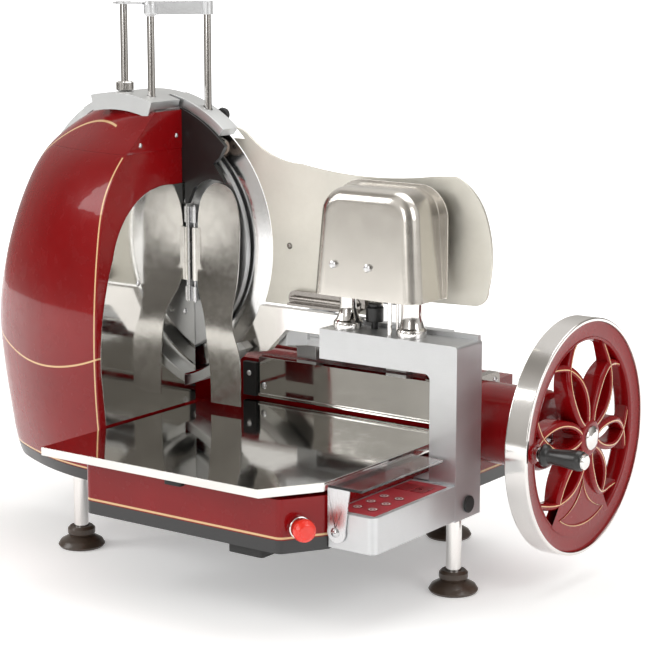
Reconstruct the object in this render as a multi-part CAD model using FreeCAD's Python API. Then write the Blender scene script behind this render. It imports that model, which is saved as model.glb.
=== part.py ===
import FreeCAD, Part
import math
import os

V = FreeCAD.Vector
X, Y, Z = V(1, 0, 0), V(0, 1, 0), V(0, 0, 1)

# Driving dimensions in millimetres. +X runs towards the flywheel, +Y to the back, +Z up.
# While it is built, the floor is Z = 0 and the front edge of the tray is Y = 0.
# FRAME_SHIFT then puts the origin on the floor below the middle of the whole machine.
FRAME_SHIFT = V(159.0, -251.48, 0)

BASE_BOTTOM = 90
BAND_TOP = 105
BASE_TOP = 151
BASE_RIGHT = 45
WALL = 4
TRAY_TOP = 165
TRAY_LIP = 10

BLADE_X, BLADE_Z = -380, 369
BLADE_R = 175
BLADE_T = 4
BLADE_BACK = 300
GUARD_IN, GUARD_OUT = 178.5, 190

CASE_RIGHT = -320
CASE_BACK = 268
CAP_SEAM = 489

FRAME_FRONT, FRAME_BACK = 230, 284
FRAME_LEFT, FRAME_RIGHT = -84, 106
FRAME_TOP = 295
BEAM_H = 36
LEG_W = 36

COLUMN_X = (-58, 31)
COLUMN_Y = 252

WHEEL_FACE = 200
WHEEL_DEPTH = 28
HUB_FACE = 206
WHEEL_R = 139
WHEEL_Y, WHEEL_Z = 364, 178
PETAL_ANGLES = (112, 52, -8, -68, -128, 172)
GRIP_ANGLE, GRIP_RADIUS = 178, 114
GRIP_START, GRIP_LENGTH = 206, 52
SPINDLE_R = 5

ROD_Z = 233
ROD_Y = (381, 441)
ROD_R = 8
ROD_END = -8
RUN = 0.06

FOOT_AT = ((-384, 140), (88, 257), (-34, 440), (-500, 430))

# X and Y of the two posts over the casing and of the one behind the blade, then their ends.
SHARPENER_POSTS = ((-385, 238), (-342, 238), (-294, 288))
POST_TOP = (664, 660, 652)
POST_FOOT = (506, 506, 512.5)
POST_R = 4.5
POST_HOLE_R = 5.5

THICKNESS_KNOB = V(-30, 266, FRAME_TOP)
RAIL_PANEL_Y = 345
RAIL_TOP = 216
HOUSING_R = 48
WHEEL_BEARING_X = (50, 138)
WHEEL_SHAFT_R = 9
INLET_X, INLET_Z = -396, 126
BASE_BACK = 470


# ---------------------------------------------------------------- helpers

def box(x0, x1, y0, y1, z0, z1):
    return Part.makeBox(x1 - x0, y1 - y0, z1 - z0, V(x0, y0, z0))


def rod(r, start, end):
    axis = end.sub(start)
    return Part.makeCylinder(r, axis.Length, start, axis)


def tube(r_out, r_in, start, end):
    return rod(r_out, start, end).cut(rod(r_in, start, end))


def prism(points, direction):
    corners = [V(*p) for p in points]
    return Part.Face(Part.makePolygon(corners + corners[:1])).extrude(direction)


def arc(a, b, c):
    return Part.Arc(V(*a), V(*b), V(*c)).toShape()


def line(a, b):
    return Part.makeLine(V(*a), V(*b))


def outline(edges):
    return Part.Face(Part.Wire(Part.__sortEdges__(edges)))


def along(shape, direction):
    """The straight edges of a shape that run along one direction."""
    straight = [e for e in shape.Edges if isinstance(e.Curve, Part.Line)]
    return [e for e in straight if abs(abs(e.Curve.Direction.dot(direction)) - 1) < 1e-6]


def soft_box(x0, x1, y0, y1, z0, z1, radius, direction=Z):
    block = box(x0, x1, y0, y1, z0, z1)
    return block.makeFillet(radius, along(block, direction))


def turned(profile, at, axis):
    """A turned part: profile is (radius, distance along the axis)."""
    points = [V(r, 0, h) for r, h in profile]
    solid = Part.Face(Part.makePolygon(points + points[:1])).revolve(V(0, 0, 0), Z, 360)
    solid.Placement = FreeCAD.Placement(at, FreeCAD.Rotation(Z, axis))
    return solid


def dome_screw(at, axis, r=4.0):
    """Domed screw head with a slot, seated flat on the surface at 'at'."""
    ball = Part.makeSphere(r * 1.25, V(0, 0, -r * 0.75))
    head = ball.common(Part.makeCylinder(r, r, V(0, 0, 0), Z))
    head = head.cut(box(-r, r, -0.4, 0.4, r * 0.3, r))
    head.Placement = FreeCAD.Placement(at, FreeCAD.Rotation(Z, axis))
    return head


def fuse_all(shapes):
    return shapes[0].multiFuse(shapes[1:]).removeSplitter()


def blade_point(radius, degrees, y):
    """A point at an angle from +X towards +Z about the blade's centre."""
    a = math.radians(degrees)
    return V(BLADE_X + radius * math.cos(a), y, BLADE_Z + radius * math.sin(a))


def blade_ring(r_in, r_out, y0, y1, start, end):
    """A piece of ring about the blade's axis between two angles from +X towards +Z."""
    angles = (start, (start + end) / 2, end)
    arcs = [Part.Arc(*[blade_point(r, a, y0) for a in angles]).toShape() for r in (r_in, r_out)]
    sides = [Part.makeLine(blade_point(r_in, a, y0), blade_point(r_out, a, y0)) for a in (start, end)]
    return outline(arcs + sides).extrude(V(0, y1 - y0, 0))


def wheel_point(radius, degrees, x):
    """A point at an angle from +Y towards +Z about the flywheel's centre."""
    a = math.radians(degrees)
    return V(x, WHEEL_Y + radius * math.cos(a), WHEEL_Z + radius * math.sin(a))


# ---------------------------------------------------------------- base and feet

BASE_PLAN = ((-269, 20), (14, 20), (45, 68), (45, BASE_BACK), (-560, BASE_BACK), (-560, 304),
             (-316, 304), (-316, 112), (-269, 112))
ESTOP_AT = V(26.5, 39.35, 118.5)
ESTOP_AXIS = V(48, -31, 0).normalize()


def base_block(inset, z0, z1):
    plan = Part.Face(Part.makePolygon([V(x, y, z0) for x, y in BASE_PLAN + BASE_PLAN[:1]]))
    if inset:
        plan = plan.makeOffset2D(-inset)
    block = plan.extrude(V(0, 0, z1 - z0))
    if inset:
        return block
    square = [e for e in along(block, Z) if e.Vertexes[0].Y < 21 or e.Vertexes[0].Y > 469]
    return block.makeFillet(11, square)


def base_body():
    shell = base_block(0, BAND_TOP, BASE_TOP).cut(base_block(WALL, BAND_TOP, BASE_TOP - WALL))
    button_hole = rod(8.5, ESTOP_AT - ESTOP_AXIS * 12, ESTOP_AT + ESTOP_AXIS * 12)
    cable_hole = rod(9, V(INLET_X, BASE_BACK - 2 * WALL, INLET_Z), V(INLET_X, BASE_BACK + 1, INLET_Z))
    return shell.cut(button_hole).cut(cable_hole)


def base_band():
    """Dark pans under the base and under the drive casing."""
    pan = base_block(0, BASE_BOTTOM, BAND_TOP).cut(base_block(WALL, BASE_BOTTOM + WALL, BAND_TOP))
    return Part.makeCompound([pan, casing_shell(BASE_BOTTOM, BAND_TOP)])


def foot_posts():
    tops = (BASE_BOTTOM, FRAME_TOP - 204, BASE_BOTTOM, BASE_BOTTOM)
    return Part.makeCompound([rod(9, V(x, y, 24), V(x, y, top)) for (x, y), top in zip(FOOT_AT, tops)])


def foot_pads():
    dome = [(0, 0), (27, 0), (29, 3), (26, 8), (19, 12), (15, 14), (17, 17), (17, 23), (14, 26), (9.4, 26),
            (9.4, 24), (0, 24)]
    return Part.makeCompound([turned(dome, V(x, y, 0), Z) for x, y in FOOT_AT])


def power_inlet():
    flange = soft_box(INLET_X - 24, INLET_X + 24, BASE_BACK, BASE_BACK + 3, INLET_Z - 18, INLET_Z + 18, 4, Y)
    sleeve = rod(11, V(INLET_X, BASE_BACK + 3, INLET_Z), V(INLET_X, BASE_BACK + 21, INLET_Z))
    bore = rod(7, V(INLET_X, BASE_BACK - 1, INLET_Z), V(INLET_X, BASE_BACK + 22, INLET_Z))
    return fuse_all([flange, sleeve]).cut(bore)


def estop_collar():
    ring = tube(13, 8.5, ESTOP_AT, ESTOP_AT + ESTOP_AXIS * 5)
    return ring.makeFillet(1.5, [e for e in ring.Edges if e.CenterOfMass.distanceToPoint(
        ESTOP_AT + ESTOP_AXIS * 5) < 0.1 and e.Length > 80])


def estop_button():
    cap = [(0, -10), (8, -10), (8, 12), (12.5, 12), (13, 15), (12, 19), (8, 22), (0, 23)]
    return turned(cap, ESTOP_AT, ESTOP_AXIS)


# ---------------------------------------------------------------- drive casing

# Height, X of the left side and Y of the creased front right corner.
CASING_SECTIONS = ((90, -556, 124), (130, -564, 113), (190, -572, 105), (266, -580, 103), (336, -570, 107),
                   (398, -550, 115), (441, -532, 127), (482, -512, 157), (511, -482, 190), (530, -450, 211),
                   (536, -436, 218))
# The front's curve, from the crease to the back left edge, as shares of a section's width and depth.
CASING_CURVE = ((0, 0), (0.397, 0.085), (0.714, 0.28), (0.913, 0.5), (1, 0.854), (1, 1))


def casing_block(inset):
    """Smooth body through horizontal sections, each a bulging front, a flat back and a flat right side."""
    right, back = CASE_RIGHT - inset, CASE_BACK - inset
    wires = []
    for z, left, front in CASING_SECTIONS:
        if z == CASING_SECTIONS[-1][0]:
            z -= inset
        wide, deep = left + inset - right, back - front - inset
        points = [V(right + wide * a, front + inset + deep * b, z) for a, b in CASING_CURVE]
        bow = Part.BSplineCurve()
        bow.interpolate(points)
        corner = V(right, back, z)
        wires.append(Part.Wire([bow.toShape(), Part.makeLine(points[-1], corner),
                                Part.makeLine(corner, points[0])]))
    return Part.makeLoft(wires, True, False)


def casing_shell(z0, z1):
    slab = box(-700, 0, 0, 400, z0, z1)
    hollow = casing_block(WALL)
    return casing_block(0).common(slab).cut(hollow)


def casing_body():
    opening = rod(34, V(BLADE_X, CASE_BACK - 10, BLADE_Z), V(BLADE_X, CASE_BACK + 10, BLADE_Z))
    return casing_shell(BAND_TOP, CAP_SEAM).cut(opening)


def casing_cap():
    cap = casing_shell(CAP_SEAM, 600)
    for x, y in SHARPENER_POSTS[:2]:
        cap = cap.cut(rod(POST_HOLE_R, V(x, y, CAP_SEAM), V(x, y, 600)))
    return cap


SIDE_PLATE_BACK = 286.4
SIDE_PLATE_T = 2


def side_plate():
    x = CASE_RIGHT
    low, high = TRAY_TOP + 2, 446
    face = outline([
        line((x, SIDE_PLATE_BACK, low), (x, SIDE_PLATE_BACK, high)),
        line((x, SIDE_PLATE_BACK, high), (x, 245, high)),
        arc((x, 245, high), (x, 166, 421), (x, 134, 366)),
        arc((x, 134, 366), (x, 114, 300), (x, 109, 230)),
        line((x, 109, 230), (x, 116, low)),
        line((x, 116, low), (x, SIDE_PLATE_BACK, low))])
    notch = blade_ring(GUARD_IN - 3, GUARD_OUT + 0.8, 265, 305, 270, 318)
    return face.extrude(V(SIDE_PLATE_T, 0, 0)).cut(notch)


# ---------------------------------------------------------------- blade and its drive

SHAFT_R = 10
PULLEY_Y0, PULLEY_Y1 = 160, 178
BLADE_PULLEY_R, MOTOR_PULLEY_R = 45, 22.5
MOTOR_X, MOTOR_Z = -455, 232
MOTOR_R = 52


def blade():
    front = BLADE_BACK - BLADE_T
    profile = [(17, 0), (BLADE_R, 0), (BLADE_R, 0.4), (151, BLADE_T), (17, BLADE_T)]
    disc = turned(profile, V(BLADE_X, BLADE_BACK, BLADE_Z), -Y)
    for turn in range(3):
        at = blade_point(28, 90 + turn * 120, front)
        disc = disc.cut(rod(3, at - Y * 2, at + Y * 6))
    return disc


def blade_shaft():
    """Shaft with its belt pulley and hub flange in one piece, and the three blade screws."""
    flange = rod(36, V(BLADE_X, BLADE_BACK, BLADE_Z), V(BLADE_X, BLADE_BACK + 4, BLADE_Z))
    spigot = rod(17, V(BLADE_X, BLADE_BACK - BLADE_T, BLADE_Z), V(BLADE_X, BLADE_BACK, BLADE_Z))
    shaft = rod(SHAFT_R, V(BLADE_X, 150, BLADE_Z), V(BLADE_X, BLADE_BACK - BLADE_T, BLADE_Z))
    heads = [dome_screw(blade_point(28, 90 + turn * 120, BLADE_BACK + 4), Y, 4.5) for turn in range(3)]
    pulley = grooved_pulley(BLADE_PULLEY_R, BLADE_X, BLADE_Z)
    return Part.makeCompound([fuse_all([flange, spigot, shaft, pulley])] + heads)


def bearings():
    """Plain bearing rings of the blade's shaft and of the flywheel's shaft."""
    blade = [tube(20, SHAFT_R + RUN, V(BLADE_X, y, BLADE_Z), V(BLADE_X, y + 12, BLADE_Z)) for y in (196, 238)]
    wheel = [tube(15, WHEEL_SHAFT_R + RUN, V(x, WHEEL_Y, WHEEL_Z), V(x + 12, WHEEL_Y, WHEEL_Z))
             for x in WHEEL_BEARING_X]
    return Part.makeCompound(blade + wheel)


def bearing_housing():
    barrel = tube(28, 20, V(BLADE_X, 190, BLADE_Z), V(BLADE_X, 254, BLADE_Z))
    flange = tube(46, 20, V(BLADE_X, 254, BLADE_Z), V(BLADE_X, CASE_BACK - WALL, BLADE_Z))
    return fuse_all([barrel, flange])


def grooved_pulley(r, x, z):
    rim = [(0, 0), (r + 2, 0), (r + 2, 2), (r - 1, 4), (r - 1, 14), (r + 2, 16), (r + 2, 18), (0, 18)]
    return turned(rim, V(x, PULLEY_Y0, z), Y)


def drive_belt():
    """Flat belt: the outer tangent hull of both pulleys less the inner one."""
    def hull(extra, y0, y1):
        big, small = BLADE_PULLEY_R + extra, MOTOR_PULLEY_R + extra
        dx, dz = MOTOR_X - BLADE_X, MOTOR_Z - BLADE_Z
        lean = math.asin((big - small) / math.hypot(dx, dz))
        heading = math.atan2(dz, dx)
        corners = []
        for side in (1, -1):
            a = heading + side * (math.pi / 2 - lean)
            near = (BLADE_X + big * math.cos(a), y0, BLADE_Z + big * math.sin(a))
            far = (MOTOR_X + small * math.cos(a), y0, MOTOR_Z + small * math.sin(a))
            corners += [near, far] if side == 1 else [far, near]
        body = prism(corners, V(0, y1 - y0, 0))
        ends = [rod(big, V(BLADE_X, y0, BLADE_Z), V(BLADE_X, y1, BLADE_Z)),
                rod(small, V(MOTOR_X, y0, MOTOR_Z), V(MOTOR_X, y1, MOTOR_Z))]
        return fuse_all([body] + ends)
    return hull(1.4, PULLEY_Y0 + 5, PULLEY_Y1 - 5).cut(hull(-0.6, PULLEY_Y0, PULLEY_Y1))


def motor_body():
    can = rod(MOTOR_R, V(MOTOR_X, 188, MOTOR_Z), V(MOTOR_X, CASE_BACK - WALL, MOTOR_Z))
    nose = rod(22, V(MOTOR_X, 182, MOTOR_Z), V(MOTOR_X, 188, MOTOR_Z))
    fins = []
    for k in range(12):
        a = math.radians(30 * k)
        foot = box(-1.5, 1.5, 196, 256, MOTOR_R - 1, MOTOR_R + 5)
        foot.rotate(V(0, 0, 0), Y, math.degrees(a))
        foot.translate(V(MOTOR_X, 0, MOTOR_Z))
        fins.append(foot)
    return fuse_all([can, nose] + fins).cut(rod(7.5, V(MOTOR_X, 180, MOTOR_Z), V(MOTOR_X, 240, MOTOR_Z)))


def motor_pulley():
    shaft = rod(7, V(MOTOR_X, 158, MOTOR_Z), V(MOTOR_X, 238, MOTOR_Z))
    return fuse_all([shaft, grooved_pulley(MOTOR_PULLEY_R, MOTOR_X, MOTOR_Z)])


def blade_cover():
    y0, y1 = 287, 292
    disc = rod(147, V(BLADE_X, y0, BLADE_Z), V(BLADE_X, y1, BLADE_Z))
    disc = disc.cut(rod(14, V(BLADE_X, y0 - 1, BLADE_Z), V(BLADE_X, y1 + 1, BLADE_Z)))
    disc = disc.makeChamfer(2, [e for e in disc.Edges if e.Length > 900 and e.CenterOfMass.y < y0 + 1])
    posts = [rod(7, blade_point(100, a, CASE_BACK), blade_point(100, a, y0)) for a in (135, 225, 90)]
    return fuse_all([disc] + posts)


def blade_guard():
    ring = blade_ring(GUARD_IN, GUARD_OUT, 272, 302, 121, 318)
    web = blade_ring(150, GUARD_OUT, CASE_BACK, 272, 121, 240)
    return fuse_all([ring, web])


def top_guard():
    return blade_ring(GUARD_IN, GUARD_OUT, 272, 302, 50, 77.5).cut(
        rod(POST_HOLE_R, V(*SHARPENER_POSTS[2], 500), V(*SHARPENER_POSTS[2], 600)))


# ---------------------------------------------------------------- sharpener

BAR_Z0, BAR_Z1 = 652, 668
BRIDGE_FRONT, BRIDGE_STEP = 213, 262
BRIDGE_RIGHT, BRIDGE_LEFT = 72, 102
BRIDGE_REAR_RIGHT, BRIDGE_REAR_LEFT = 78, 120.5


def sharpener_bridge():
    """Arched block between the casing's top and the blade's guard, with a lip over the casing's front."""
    outer = GUARD_OUT - 1.5
    block = blade_ring(GUARD_IN, outer, BRIDGE_FRONT + 9, CASE_BACK - 0.5, BRIDGE_RIGHT, BRIDGE_LEFT)
    rear = blade_ring(GUARD_IN, outer, BRIDGE_STEP, 302, BRIDGE_REAR_RIGHT, BRIDGE_REAR_LEFT)
    front = blade_ring(168, outer, BRIDGE_FRONT, BRIDGE_FRONT + 9, BRIDGE_RIGHT, BRIDGE_LEFT)
    bridge = fuse_all([block, rear, front])
    for x, y in SHARPENER_POSTS[:2]:
        bridge = bridge.cut(rod(POST_HOLE_R, V(x, y, 500), V(x, y, 600)))
    return bridge.cut(casing_block(0))


def sharpener_housing():
    """Black plate between the casing and the blade's bevel, above the deflector."""
    y0, y1 = CASE_BACK, 274.5
    low = prism([(-316, y0, 420), (-312, y0, 420), (-302, y0, 441), (-290, y0, 448), (-277, y0, 453),
                 (-262, y0, 452), (-240, y0, 445), (-240, y0, 470), (-264, y0, 492), (-316, y0, 492)],
                V(0, y1 - y0, 0))
    low = low.common(rod(150, V(BLADE_X, y0, BLADE_Z), V(BLADE_X, y1, BLADE_Z)))
    high = prism([(-322, y0, 447), (-300, y0, 447), (-262, y0, 480), (-246, y0, 506), (-262, y0, 560),
                  (-322, y0, 560)], V(0, y1 - y0, 0))
    high = high.common(rod(GUARD_IN, V(BLADE_X, y0, BLADE_Z), V(BLADE_X, y1, BLADE_Z)))
    return fuse_all([low, high])


def sharpener_posts():
    posts = []
    for (x, y), top, foot in zip(SHARPENER_POSTS, POST_TOP, POST_FOOT):
        posts.append(rod(POST_R, V(x, y, foot), V(x, y, top)))
    return Part.makeCompound(posts)


def sharpener_bar():
    """Flat bar with a rounded clamp at each end, over the two posts beside the blade."""
    (x0, y0), (x1, y1) = SHARPENER_POSTS[1], SHARPENER_POSTS[2]
    direction = V(x1 - x0, y1 - y0, 0).normalize()
    across = Z.cross(direction) * 3
    ends = [V(x0, y0, BAR_Z0) + across, V(x1, y1, BAR_Z0) + across,
            V(x1, y1, BAR_Z0) - across, V(x0, y0, BAR_Z0) - across]
    bar = Part.Face(Part.makePolygon(ends + ends[:1])).extrude(V(0, 0, BAR_Z1 - BAR_Z0))
    front = turned([(0, -2), (6, -2), (8, 2), (8, 12), (6, 16), (0, 17)], V(x0, y0, BAR_Z0), Z)
    back = rod(7, V(x1, y1, BAR_Z0), V(x1, y1, BAR_Z1))
    bar = fuse_all([bar, front, back])
    for (x, y), top in zip(SHARPENER_POSTS[1:], POST_TOP[1:]):
        bar = bar.cut(rod(POST_R, V(x, y, 640), V(x, y, top)))
    far_x, far_y = SHARPENER_POSTS[0]
    link = box(far_x - 12, x0 - 8, far_y - 6, y0 + 6, POST_TOP[0], POST_TOP[0] + 2.5)
    link = fuse_all([link, rod(9, V(far_x, far_y, POST_TOP[0]), V(far_x, far_y, POST_TOP[0] + 3))])
    return Part.makeCompound([bar, link])


def lock_collar():
    collar = turned([(4.9, 0), (9, 0), (11, 1.5), (11, 10), (9, 11.5), (4.9, 11.5)],
                    V(*SHARPENER_POSTS[0], 558.2), Z)
    for k in range(16):
        a = math.radians(22.5 * k)
        at = V(SHARPENER_POSTS[0][0] + 11.4 * math.cos(a), SHARPENER_POSTS[0][1] + 11.4 * math.sin(a), 555)
        collar = collar.cut(rod(1.0, at, at + Z * 18))
    return collar


GRIND_AT = V(-294, 280, 488)
HONE_AT = V(-268, 280, 492)


def stone_arm():
    arm = prism([(-300, 275, 515), (-288, 275, 515), (-258, 275, 501), (-261, 275, 490), (-287, 275, 480),
                 (-300, 275, 482)], V(0, 3.4, 0))
    block = box(-300, -288, 275, 294, POST_FOOT[2], 518)
    pins = [rod(3, V(at.x, 277, at.z), V(at.x, 286.4, at.z)) for at in (GRIND_AT, HONE_AT)]
    body = fuse_all([arm, block] + pins)
    return body.cut(rod(POST_R, V(*SHARPENER_POSTS[2], 510), V(*SHARPENER_POSTS[2], 520)))


def stone(at, r):
    profile = [(3 + RUN, 0), (r, 0), (r, 5), (r - 2, 6.8), (3 + RUN, 6.8)]
    return turned(profile, V(at.x, 279.2, at.z), Y)


def grinding_stone():
    return stone(GRIND_AT, 14)


def honing_stone():
    return stone(HONE_AT, 10)


# ---------------------------------------------------------------- slice deflector

HINGE_X, HINGE_Y = -312, 281
HINGE_R = 3.6
HINGE_PIN_R = 1.5
KNUCKLES = ((296, 314), (395, 415))


# Height and Y of the deflector's face along its hinge side and along its free side.
HINGE_SIDE = ((460, 281), (400, 281), (340, 280.5), (312, 276), (283, 268), (252, 266), (165, 266))
FREE_SIDE = ((460, 284), (410, 283), (367, 281), (330, 278), (299, 274), (269, 269), (242, 268), (165, 268))
# Outline of the deflector seen from the front, as X and Z, from its tip down each side.
DEFLECTOR_RIGHT = ((-277, 447), (-255, 440), (-243, 414), (-241, 367), (-242, 330), (-245, 299), (-243, 270),
                   (-234, 245), (-231, 210), (-231, 173))
DEFLECTOR_LEFT = ((-277, 173), (-278, 205), (-282, 252), (-288, 283), (-298, 304), (-304, 318), (-306, 340),
                  (-306, 375), (-305, 405), (-300, 425), (-291, 439), (-277, 447))


def smooth(points):
    bow = Part.BSplineCurve()
    bow.interpolate([V(*p) for p in points])
    return bow.toShape()


def deflector():
    """Thin sheet that bends from an upright leaf beside the blade to a spout over the tray."""
    hinge_side = smooth([(-312, y, z) for z, y in HINGE_SIDE])
    free_side = smooth([(-225, y, z) for z, y in FREE_SIDE])
    sheet = Part.makeRuledSurface(hinge_side, free_side).extrude(V(0, -1.6, 0))
    sides = [smooth([(x, 255, z) for x, z in points]) for points in (DEFLECTOR_RIGHT, DEFLECTOR_LEFT)]
    bottom = line((DEFLECTOR_RIGHT[-1][0], 255, 173), (DEFLECTOR_LEFT[0][0], 255, 173))
    sheet = sheet.common(outline(sides + [bottom]).extrude(V(0, 40, 0)))
    leaf = box(HINGE_X + 2, -302, 278.6, 280.2, 322, 389)
    barrel = tube(HINGE_R, HINGE_PIN_R + 0.1, V(HINGE_X, HINGE_Y, 322), V(HINGE_X, HINGE_Y, 389))
    leaf = leaf.cut(rod(HINGE_R - 0.5, V(HINGE_X, HINGE_Y, 321), V(HINGE_X, HINGE_Y, 390)))
    return fuse_all([sheet, leaf, barrel])


def deflector_hinge():
    parts = []
    for z0, z1 in KNUCKLES:
        barrel = tube(HINGE_R, HINGE_PIN_R, V(HINGE_X, HINGE_Y, z0), V(HINGE_X, HINGE_Y, z1))
        tab = box(CASE_RIGHT + SIDE_PLATE_T, HINGE_X - 2, HINGE_Y - 1, HINGE_Y + 1, z0, z1)
        parts.append(fuse_all([barrel, tab]))
    strip = box(CASE_RIGHT + SIDE_PLATE_T, CASE_RIGHT + SIDE_PLATE_T + 1.2, 276, SIDE_PLATE_BACK, 296, 415)
    low, high = KNUCKLES[0][0] - 2, KNUCKLES[1][1] + 2
    pin = rod(HINGE_PIN_R, V(HINGE_X, HINGE_Y, low), V(HINGE_X, HINGE_Y, high))
    return Part.makeCompound([fuse_all(parts + [strip]), pin])


# ---------------------------------------------------------------- gauge plate and its cover

PLATE_Y0 = BLADE_BACK - 4
COVER_BACK = 279
COVER_BOTTOM, COVER_TOP = 338, 464
COVER_WALL = 2


def gauge_plate():
    """Sail-shaped plate, cut back round the blade, with its working face in the blade's plane."""
    y = PLATE_Y0
    face = outline([
        arc((-264, y, 515), (-248, y, 513), (-236, y, 505)),
        arc((-236, y, 505), (-208, y, 487), (-160, y, 477)),
        arc((-160, y, 477), (-60, y, 468), (30, y, 475)),
        line((30, y, 475), (59, y, 477)),
        arc((59, y, 477), (84, y, 461), (100, y, 436)),
        arc((100, y, 436), (109, y, 397), (105, y, 350)),
        arc((105, y, 350), (101, y, 337), (90, y, 330)),
        line((90, y, 330), (-40, y, 326)),
        line((-40, y, 326), (-44, y, 303)),
        line((-44, y, 303), (-230, y, 303)),
        line((-230, y, 303), (-300, y, 400)),
        line((-300, y, 400), (-264, y, 515))])
    plate = face.extrude(V(0, 4, 0))
    return plate.cut(rod(GUARD_IN, V(BLADE_X, y - 1, BLADE_Z), V(BLADE_X, y + 5, BLADE_Z))).cut(
        rod(GUARD_OUT + 0.8, V(BLADE_X, y - 1, BLADE_Z), V(BLADE_X, y + 5, BLADE_Z)).common(
            box(-400, -200, 200, 400, 502, 600)))


def gauge_carrier():
    """Back plate, two guide pins and the arm that runs left along the gauge plate."""
    plate = soft_box(-72, 40, 288, PLATE_Y0, 342, 424, 8, Y)
    pins = [rod(5, V(x, 238, 386), V(x, 288, 386)) for x in (-50, 24)]
    arm = soft_box(-172, -66, 288, PLATE_Y0, 305, 323, 8.9, Y)
    link = box(-72, -60, 289, PLATE_Y0, 312, 350)
    lip = box(-168, -66, 280, 288, 306, 309)
    bar = rod(2, V(-166, 284, 315), V(-70, 284, 315))
    stays = [box(x, x + 5, 283, 288, 313, 317) for x in (-166, -75)]
    body = fuse_all([plate, arm, link, lip, bar] + pins + stays)
    return Part.makeCompound([body, dome_screw(V(-176, PLATE_Y0, 376), -Y, 4)])


def slide_block():
    """Fixed block on the columns that guides the carrier's pins front to back."""
    block = soft_box(-74, 48, 236, 268, 374, 402, 4, Z)
    for x in (-50, 24):
        block = block.cut(rod(5 + RUN, V(x, 230, 386), V(x, 275, 386)))
    return block


def cover_block(inset):
    """Pressed cover that narrows upwards, with a broad radius over the top and round its front."""
    z0, z1 = COVER_BOTTOM, COVER_TOP - inset
    wires = []
    for x0, x1, y0, z in ((-89, 57, 218, z0), (-80, 48, 223, z1)):
        left, right, front = x0 + inset, x1 - inset, y0 + inset
        points = [V(left, front, z), V(right, front, z), V(right, COVER_BACK, z), V(left, COVER_BACK, z)]
        wires.append(Part.makePolygon(points + points[:1]))
    block = Part.makeLoft(wires, True, True)
    sides = [e for e in along(block, Y) if e.CenterOfMass.z > z1 - 1]
    block = block.makeFillet(33 - inset, sides)
    front = [e for e in block.Edges if e.CenterOfMass.y < 226 + inset and e.CenterOfMass.z > z0 + 1]
    return block.makeFillet(17 - inset, front)


def gauge_cover():
    y0, y1 = COVER_BACK - COVER_WALL, COVER_BACK
    rim = soft_box(-95, 62, y0, y1, COVER_BOTTOM, COVER_TOP + 4, 38, Y)
    rim_foot = box(-95, 62, y0, y1, COVER_BOTTOM, COVER_BOTTOM + 50)
    return fuse_all([cover_block(0), rim, rim_foot]).cut(cover_block(COVER_WALL))


def support_columns():
    parts = []
    for x, r in zip(COLUMN_X, (10, 12.5)):
        flare = [(0, 0), (17, 0), (17.5, 2), (17.5, 7), (16.5, 9), (14.5, 11)]
        steps = 6
        for k in range(1, steps + 1):
            t = k / steps
            flare.append((r + (14.5 - r) * (1 - t) ** 2, 11 + 16 * t))
        flare += [(r, 374 - FRAME_TOP), (0, 374 - FRAME_TOP)]
        parts.append(turned(flare, V(x, COLUMN_Y, FRAME_TOP), Z))
    parts.append(rod(2.6, V(9, 239, FRAME_TOP), V(9, 239, 374)))
    parts.append(rod(1.6, V(15, 246, FRAME_TOP), V(15, 246, 374)))
    return Part.makeCompound(parts)


def thickness_knob():
    profile = [(0, 0), (4, 0), (4, 9), (10, 9), (10.5, 11), (10.5, 25), (9.5, 27), (8, 27), (8, 30), (0, 30)]
    return turned(profile, THICKNESS_KNOB, Z)


# ---------------------------------------------------------------- support frame

def support_frame():
    x0, x1 = FRAME_LEFT, FRAME_RIGHT
    low = FRAME_TOP - 204
    inner = FRAME_TOP - BEAM_H
    frame = prism([(x0, FRAME_FRONT, inner), (x0, FRAME_FRONT, FRAME_TOP), (x1, FRAME_FRONT, FRAME_TOP),
                   (x1, FRAME_FRONT, low), (x1 - LEG_W, FRAME_FRONT, low), (x1 - LEG_W, FRAME_FRONT, inner)],
                  V(0, FRAME_BACK - FRAME_FRONT, 0))
    bend = [e for e in along(frame, Y) if abs(e.CenterOfMass.x - (x1 - LEG_W)) < 1 and e.CenterOfMass.z > 200]
    frame = frame.makeFillet(7, bend)
    corner = [e for e in along(frame, Y) if abs(e.CenterOfMass.x - x1) < 1 and e.CenterOfMass.z > 200]
    frame = frame.makeFillet(4, corner)
    ledge = box(x0, x1 - 2, FRAME_BACK - 7, FRAME_BACK, FRAME_TOP - 1, FRAME_TOP + 5)
    foot = box(BASE_RIGHT, x1 - LEG_W + 1, 236, 280, 106, 134)
    return fuse_all([frame, ledge, foot])


def lower_guard_bar():
    y0, y1 = 288, 299
    bar = prism([(-60, y0, 300), (-60, y0, 273), (-176, y0, 273), (-205, y0, 243), (-238, y0, 238),
                 (-262, y0, 262), (-230, y0, 300)], V(0, y1 - y0, 0))
    bar = bar.cut(rod(GUARD_IN, V(BLADE_X, y0 - 1, BLADE_Z), V(BLADE_X, y1 + 1, BLADE_Z)))
    bar = bar.cut(blade_ring(GUARD_IN - 3, GUARD_OUT + 1.5, 260, 310, 270, 318))
    foot = box(FRAME_LEFT, -60, FRAME_BACK, y0, 273, 294)
    return fuse_all([bar, foot])


# ---------------------------------------------------------------- rails and carriage

CARRIAGE_X0, CARRIAGE_X1 = -222, -52
TABLE_Z0, TABLE_Z1 = 250, 257
PUSHER_ROD = V(CARRIAGE_X0 + 7, 312, 275)
PUSHER_ROD_R = 5
TABLE_BACK = 478
NOSE_HEIGHT = 12


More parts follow.
